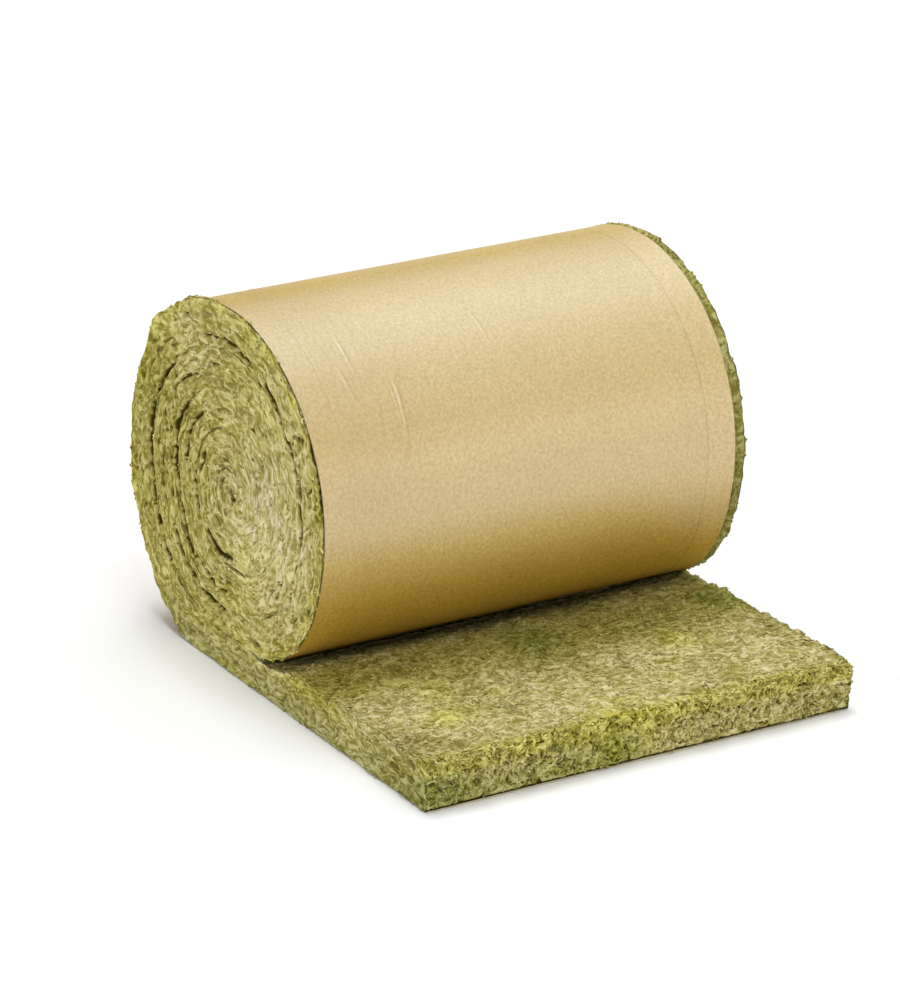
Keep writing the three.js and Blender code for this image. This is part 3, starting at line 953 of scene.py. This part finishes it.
def buildPaper():
    # A grid along the mat and across it. Its height over the wool is a sum of broad waves,
    # creases, a small step at the tab lines and a lift at the back edge; it lies flat under the
    # tail and where it goes in.
    along = np.linspace(0, tuckedLength, int(tuckedLength / paper["stepAlong"]))
    along[0] = -paper["lip"]
    low, high = mat["insetFront"] - halfWidth, halfWidth - mat["insetBack"]
    tabs = np.array([low + paper["tab"], high - paper["tab"]])
    across = paperColumns(low, high, tabs)
    s, y = (g.ravel() for g in np.meshgrid(along, across, indexing="ij"))
    seed, none = paper["seed"], 0 * s
    place = bendToRoll(s, none, y)
    turn = np.interp(s, side["along"], side["turn"])
    free = smoothStep(0.05, 0.20, s - floorLength) * smoothStep(0, 0.12, tuckedLength - s)
    wave = fractalNoise(place, paper["waveSize"], seed, 2)
    long, wide = paper["wrinkleSize"]
    creased = fractalNoise(place, 80 * mm, seed + 7, 2) + 0.5 * smoothStep(0, -0.25, y)
    crease = smoothStep(0.25, 0.8, stretchedNoise(seed + 3, s / long, y / wide, none))
    crease = crease * smoothStep(0.0, 0.6, creased)
    tabLine = np.exp(-((np.abs(y[:, None] - tabs[None, :]).min(1)) / (1.0 * mm)) ** 2)
    folds, shaded = longCreases(turn, y)
    toEdge = np.minimum(y - low, high - y)
    backLift = paper["edgeLift"] * smoothStep(8 * mm, 0, high - y) * (0.7 + 0.6 * wave)
    lift = (paper["wave"] * (1.6 + wave) + paper["wrinkle"] * crease - paper["tabStep"] * tabLine
            + folds + backLift)
    # how dark each point is drawn: lines positive, and the torn lip far below zero. Painted
    # shade is among them: at the slit, on one side of each long crease and along the sheet's edge.
    slitAt, slitWidth, slitDark = paper["slit"]
    marks = (tabLine * (0.25 + 0.75 * (y > 0)) - 0.12 * (toEdge < paper["tab"])
             + 3.6 * (toEdge < 0.1 * mm) + 0.7 * np.maximum(shaded, 0) - 8 * (s < 0)
             + slitDark * np.exp(-((turn - slitAt) / slitWidth) ** 2))
    wander = paper["edgeWander"] * stretchedNoise(seed + 11, s / (50 * mm), none, none)
    y = y + wander * smoothStep(20 * mm, 0, toEdge)
    outer = -woolDepth - np.maximum(lift, 0) * free
    u, v = s / tuckedLength, (y - low) / (high - low)
    points, uv = [], []
    for offset, base in ((0, 0.0), (mat["paper"], 0.5)):
        points.append(bendToRoll(s, outer + offset, y))
        points[-1][:, 2] = np.maximum(points[-1][:, 2], offset)
        uv.append(np.stack([u, base + 0.48 * v], 1))
    return (len(along), len(across)), points, uv, marks, v


def paperObject():
    # the sheet's two sides are joined by a wall round its border
    shape, points, uv, marks, v = buildPaper()
    count = len(marks)
    ids = np.arange(count).reshape(shape)
    border = np.concatenate([ids[:, 0], ids[-1, 1:], ids[-2::-1, -1], ids[0, -2:0:-1]])
    after = np.roll(border, -1)
    wall = np.stack([after, border, border + count, after + count], 1)
    faces = gridFaces(ids)
    allFaces = [faces, faces[:, ::-1] + count, wall]
    loops = np.concatenate([f.ravel() for f in allFaces])
    uv = np.concatenate(uv)
    # the marks, painted shade among them, go to the crease attribute
    piece = meshObject("kraft_paper_facing", np.concatenate(points), allFaces,
                       {"crease": np.concatenate([marks, marks])}, uv[loops])
    surface = piece.data.uv_layers.new(name="sheet")
    flat = np.stack([uv[:, 0] * paperLength, np.concatenate([v, v])
                     * (mat["width"] - mat["insetFront"] - mat["insetBack"])], 1)
    surface.uv.foreach_set("vector", flat[loops].astype(np.float32).ravel())
    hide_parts("kraft_facing")
    print("kraft paper:", 2 * sum(len(f) for f in allFaces), "triangles")
    return piece


kraftPaper = paperObject()


def newGroup(name, inputs, outputs):
    group = bpy.data.node_groups.new(name, "ShaderNodeTree")
    for label, kind, value in inputs:
        socket = group.interface.new_socket(label, in_out="INPUT", socket_type="NodeSocket" + kind)
        if value is not None:
            socket.default_value = value
    for label, kind in outputs:
        group.interface.new_socket(label, in_out="OUTPUT", socket_type="NodeSocket" + kind)
    return group, group.nodes.new("NodeGroupInput"), group.nodes.new("NodeGroupOutput")


def feed(tree, value, socket):
    # links a node's output, or sets a plain number or colour
    if isinstance(value, bpy.types.NodeSocket):
        tree.links.new(value, socket)
    else:
        socket.default_value = (*value, 1) if socket.type == "RGBA" else value


def addNoise(tree, vector, scale, detail=3, roughness=0.55):
    node = tree.nodes.new("ShaderNodeTexNoise")
    labels = ("Vector", "Scale", "Detail", "Roughness")
    for label, value in zip(labels, (vector, scale, detail, roughness)):
        feed(tree, value, node.inputs[label])
    return node.outputs["Fac"]


def addMath(tree, operation, *values, clamp=False):
    node = tree.nodes.new("ShaderNodeMath")
    node.operation, node.use_clamp = operation, clamp
    for socket, value in zip(node.inputs, values):
        feed(tree, value, socket)
    return node.outputs[0]


def addRange(tree, value, low, high, toLow=0.0, toHigh=1.0):
    node = tree.nodes.new("ShaderNodeMapRange")
    node.interpolation_type = "SMOOTHSTEP"
    labels = ("Value", "From Min", "From Max", "To Min", "To Max")
    for label, number in zip(labels, (value, low, high, toLow, toHigh)):
        feed(tree, number, node.inputs[label])
    return node.outputs["Result"]


def addMix(tree, factor, a, b, blend="MIX"):
    node = tree.nodes.new("ShaderNodeMix")
    node.data_type, node.blend_type = "RGBA", blend
    for index, value in ((0, factor), (6, a), (7, b)):
        feed(tree, value, node.inputs[index])
    return node.outputs[2]


def addRamp(tree, value, stops):
    node = tree.nodes.new("ShaderNodeValToRGB")
    ramp = node.color_ramp
    while len(ramp.elements) < len(stops):
        ramp.elements.new(0.5)
    for element, (place, color) in zip(ramp.elements, stops):
        element.position, element.color = place, (*color, 1)
    feed(tree, value, node.inputs["Fac"])
    return node.outputs["Color"]


def addShares(tree, start, *shares):
    # start plus each value times its share
    total = start
    for value, share in shares:
        total = addMath(tree, "ADD", addMath(tree, "MULTIPLY", value, share), total)
    return total


def addRidge(tree, vector, scale, sharpness):
    # thin light lines where a noise passes its middle, 1 on the line and 0 away from it
    away = addMath(tree, "SUBTRACT", addNoise(tree, vector, scale, 2, 0.5), 0.5)
    away = addMath(tree, "MULTIPLY", addMath(tree, "ABSOLUTE", away), sharpness)
    return addMath(tree, "SUBTRACT", 1.0, away, clamp=True)


def addGroup(tree, group, **values):
    node = tree.nodes.new("ShaderNodeGroup")
    node.node_tree = group
    for label, value in values.items():
        feed(tree, value, node.inputs[label])
    return node.outputs["Factor"]


def addAttribute(tree, name, output="Fac"):
    node = tree.nodes.new("ShaderNodeAttribute")
    node.attribute_name = name
    return node.outputs[output]


def addAxes(tree, vector):
    node = tree.nodes.new("ShaderNodeSeparateXYZ")
    feed(tree, vector, node.inputs[0])
    return node.outputs


def addBump(tree, height, strength, distance, shader):
    node = tree.nodes.new("ShaderNodeBump")
    for label, value in (("Height", height), ("Strength", strength), ("Distance", distance)):
        feed(tree, value, node.inputs[label])
    feed(tree, node.outputs["Normal"], shader.inputs["Normal"])


def mottleGroup():
    # uneven light and dark at a chosen size, as a factor about 1
    group, inside, outside = newGroup(
        "mottle", [("Vector", "Vector", None), ("Scale", "Float", 20.0), ("Amount", "Float", 0.2)],
        [("Factor", "Float")])
    noise = addNoise(group, inside.outputs["Vector"], inside.outputs["Scale"], 4, 0.5)
    centred = addMath(group, "SUBTRACT", noise, 0.5)
    spread = addMath(group, "MULTIPLY", centred, inside.outputs["Amount"])
    feed(group, addMath(group, "ADD", spread, 1.0), outside.inputs["Factor"])
    return group


def strandGroup():
    # Felted strands, about one unit apart: a grain of light and dark, with thin light wisps
    # over it and thin dark gaps. Runs from 0 to 1 about a half.
    group, inside, outside = newGroup("strands", [("Vector", "Vector", None)], [("Factor", "Float")])
    vector = inside.outputs["Vector"]
    turned = group.nodes.new("ShaderNodeMapping")
    turned.inputs["Rotation"].default_value = (0.2, 0.2, 0.2)
    turned.inputs["Location"].default_value = (7.3, 2.1, 4.7)
    feed(group, vector, turned.inputs["Vector"])
    turned = turned.outputs["Vector"]
    grain, crossing = (addRange(group, addNoise(group, way, scale, 1, 0.5), 0.2, 0.8, -0.5, 0.5)
                       for way, scale in ((vector, 1.0), (turned, 0.8)))
    wisps, gaps = addRidge(group, vector, 0.5, 10), addRidge(group, turned, 0.45, 11)
    total = addShares(group, 0.48, (grain, 0.62), (crossing, 0.45), (wisps, 0.22), (gaps, -0.26))
    feed(group, total, outside.inputs["Factor"])
    return group


mottle, strandGrain = mottleGroup(), strandGroup()


def newMaterial(name):
    material = bpy.data.materials.new(name)
    material.use_nodes = True
    tree = material.node_tree
    return material, tree, tree.nodes["Principled BSDF"]


woolLook = {
    # colours from the darkest strands to the lightest
    "stops": [(0.0, (0.12, 0.098, 0.012)), (0.3, (0.34, 0.295, 0.066)),
              (0.6, (0.61, 0.55, 0.215)), (1.0, (0.94, 0.87, 0.55))],
    "strandContrast": 0.24,      # how far the strands' grain goes up and down the stops
    # what each tint multiplies the colour by
    "pale": (1.04, 1.03, 1.45),
    "yellow": (1.05, 1.02, 0.52),
    "green": (0.66, 0.76, 0.60),
    # the colour of the painted shade in the wool's hollows
    "hollowShade": (0.050, 0.036, 0.001),
    "hollowShadeRange": (0.25, 0.62, 0.0, 0.92),  # hollow from and to, and how much of the painted shade's colour
    "roughness": 0.9,
    "specular": 0.03,
    "bump": 2.2 * mm,            # height of the strands' grain
}


def woolMaterial():
    material, tree, shader = newMaterial("mineral_wool")
    tuft, hollow = addAttribute(tree, "tuft"), addAttribute(tree, "hollow")
    strand = addGroup(tree, strandGrain, Vector=addAttribute(tree, "strand", "Vector"))
    contrast = woolLook["strandContrast"]
    light = addMath(tree, "ADD", tuft, addRange(tree, strand, 0.0, 1.0, -contrast, contrast))
    color = addRamp(tree, light, woolLook["stops"])
    amounts = addAxes(tree, addAttribute(tree, "tint", "Vector"))
    for amount, label in zip(amounts, ("pale", "yellow", "green")):
        color = addMix(tree, amount, color, woolLook[label], "MULTIPLY")
    # painted shade in the hollows: cracks, seams, pits, the cut end's foot and the gaps beside the
    # roll, ragged along the strands
    ragged = addShares(tree, hollow, (addMath(tree, "SUBTRACT", strand, 0.5), -0.5))
    color = addMix(tree, addRange(tree, ragged, *woolLook["hollowShadeRange"]), color, woolLook["hollowShade"])
    feed(tree, color, shader.inputs["Base Color"])
    shader.inputs["Roughness"].default_value = woolLook["roughness"]
    shader.inputs["Specular IOR Level"].default_value = woolLook["specular"]
    addBump(tree, strand, 1.0, woolLook["bump"], shader)
    return material


paperLook = {
    "base": (0.616, 0.397, 0.075),
    "dark": (0.589, 0.377, 0.069),   # its cloudy areas
    "grain": (0.60, 0.62, 0.42),     # how far the fine grain goes up and down in each colour
    # scales of its patterns, a larger one being finer
    "cloudScale": 9,
    "grainScale": 260,
    "grainAmount": 1.6,
    "fleckScale": 700,
    "glossScale": 45,
    "toothScale": 520,
    # Tints that the colour is multiplied by: an axis, where each starts and is full in metres.
    "tints": [
        ("Z", 0.24, 0.13, (0.71, 0.63, 0.32)),     # painted shade, low down
        ("Y", -0.10, -0.24, (0.92, 0.90, 0.84)),   # near the front end
        ("Z", 0.30, 0.46, (0.83, 0.86, 1.00)),     # painted shade, on top of the roll
    ],
    "markShade": -0.22,          # how much a mark of 1 changes the colour
    "rawEdge": (0.86, 0.76, 0.55),   # the torn lip beside the cut end
    "fleck": (0.40, 0.26, 0.06),
    "roughness": 0.39,
    "uneven": 0.03,              # how much rougher it is in places
    "ior": 2.45,                 # the sheen of its plastic film
    "sheen": (0.12, 0.28, 0.0, 0.5),       # from and to this height, and the sheen at each
    "glance": (0.58, 0.78, 1.0, 0.04),     # from facing to edge-on, and the share kept at each
    "bump": 0.4 * mm,
    "bumpStrength": 0.25,
}


def paperMaterial():
    material, tree, shader = newMaterial("kraft_paper")
    place = tree.nodes.new("ShaderNodeTexCoord").outputs["Object"]
    clouds = addRange(tree, addNoise(tree, place, paperLook["cloudScale"], 4), 0.35, 0.7)
    color = addMix(tree, clouds, paperLook["base"], paperLook["dark"])
    grain = addGroup(tree, mottle, Vector=place, Scale=paperLook["grainScale"],
                     Amount=paperLook["grainAmount"])
    grain = addMath(tree, "SUBTRACT", grain, 0.5)
    dark, light = ([k * c for c in paperLook["grain"]] for k in (-0.5, 0.5))
    color = addMix(tree, 1.0, color, addMix(tree, grain, dark, light), "ADD")
    axes = addAxes(tree, place)
    for axis, start, full, tint in paperLook["tints"]:
        color = addMix(tree, addRange(tree, axes[axis], start, full), color, tint, "MULTIPLY")
    # the film's sheen is faded out low down and at a glancing angle
    glance = tree.nodes.new("ShaderNodeLayerWeight")
    glance.inputs["Blend"].default_value = 0.5
    clean = addRange(tree, axes["Z"], *paperLook["sheen"])
    fade = addRange(tree, glance.outputs["Facing"], *paperLook["glance"])
    feed(tree, addMath(tree, "MULTIPLY", clean, fade), shader.inputs["Specular IOR Level"])
    # the marks darken the colour: lines, and painted shade at the slit, on one side of the long
    # creases and along the sheet's edge
    marks = addAttribute(tree, "crease")
    line = addShares(tree, 1.0, (marks, paperLook["markShade"]))
    color = addMix(tree, 1.0, color, line, "MULTIPLY")
    color = addMix(tree, addRange(tree, marks, -1.0, -2.0), color, paperLook["rawEdge"])
    flecks = addNoise(tree, place, paperLook["fleckScale"], 1)
    flecks = addRange(tree, flecks, 0.68, 0.76, 0, 0.3)
    color = addMix(tree, flecks, color, paperLook["fleck"])
    feed(tree, color, shader.inputs["Base Color"])
    smooth = paperLook["roughness"]
    rough = addNoise(tree, place, paperLook["glossScale"], 4)
    rough = addRange(tree, rough, 0.3, 0.7, smooth, smooth + paperLook["uneven"])
    feed(tree, rough, shader.inputs["Roughness"])
    shader.inputs["IOR"].default_value = paperLook["ior"]
    tooth = addNoise(tree, place, paperLook["toothScale"], 4, 0.6)
    addBump(tree, tooth, paperLook["bumpStrength"], paperLook["bump"], shader)
    return material


woolFinish = woolMaterial()
paperFinish = paperMaterial()
for piece in (woolBody, *pieceFibres):
    piece.data.materials.append(woolFinish)
kraftPaper.data.materials.append(paperFinish)
print("materials ready")


stage = {
    "floor": (0.95, 0.96, 0.985),
    "roughness": 0.8,
    "reach": 40.0,               # metres from the roll to the floor's edges
    # soft lights: bearing from X towards Y, height above the floor and width as seen from the
    # roll, all in degrees, then power
    "lights": {
        "overhead": (0, 89.5, 22, 0.54),
        "behindTop": (180, 75, 22, 1.07),
        "tailHigh": (0, 60, 40, 0.85),
        "sideHigh": (60, 60, 40, 0.07),
        "backHigh": (120, 60, 40, 0.47),
        "backSide": (60, 30, 40, 0.13),
        "backRight": (90, 30, 40, 0.27),
        "backLeft": (135, 30, 40, 0.25),
        "frontLeft": (225, 30, 40, 0.39),
        "endSide": (270, 8, 40, 1.80),
        "windowRight": (30, 14, 24, 0.27),
    },
}
camera = {
    "azimuth": 57.188,           # these three in degrees
    "elevation": 22.230,
    "roll": 1.714,
    "place": (4.8619, -3.1897, 2.5780),
    "lens": 5.2059,              # focal length, in image heights
}


def softLight(name, bearing, height, width, power):
    # a sun with a wide disc, which lights the floor evenly out to its far edge
    lamp = bpy.data.lights.new(name, "SUN")
    lamp.energy, lamp.angle = power, radians(width)
    light = bpy.data.objects.new(name, lamp)
    turn, rise = radians(bearing), radians(height)
    towards = Vector((cos(turn) * cos(rise), sin(turn) * cos(rise), sin(rise)))
    light.location = 3 * towards
    light.rotation_euler = (-towards).to_track_quat("-Z", "Y").to_euler()
    bpy.context.scene.collection.objects.link(light)


def buildStage():
    reach = stage["reach"]
    signs = ((-1, -1), (1, -1), (1, 1), (-1, 1))
    mesh = bpy.data.meshes.new("floor")
    mesh.from_pydata([(a * reach, b * reach, -0.2 * mm) for a, b in signs], [], [(0, 1, 2, 3)])
    floor = bpy.data.objects.new("floor", mesh)
    bpy.context.scene.collection.objects.link(floor)
    material, _, shader = newMaterial("floor")
    shader.inputs["Base Color"].default_value = (*stage["floor"], 1)
    shader.inputs["Roughness"].default_value = stage["roughness"]
    mesh.materials.append(material)
    for name, values in stage["lights"].items():
        softLight(name, *values)


def buildCamera():
    # The camera looks back along `back`; roll turns its right and up about that line.
    az, el, roll = (radians(camera[k]) for k in ("azimuth", "elevation", "roll"))
    back = Vector((sin(az) * cos(el), -cos(az) * cos(el), sin(el)))
    right = Vector((cos(az), sin(az), 0))
    up = back.cross(right)
    turned = (cos(roll) * right + sin(roll) * up, cos(roll) * up - sin(roll) * right, back)
    lens = bpy.data.cameras.new("camera")
    lens.sensor_width = 36
    lens.lens = camera["lens"] * lens.sensor_width
    view = bpy.data.objects.new("camera", lens)
    view.matrix_world = Matrix.Translation(camera["place"]) @ Matrix(turned).transposed().to_4x4()
    bpy.context.scene.collection.objects.link(view)
    bpy.context.scene.camera = view


buildStage()
buildCamera()
bpy.context.scene.view_settings.view_transform = "Standard"
print("stage ready")
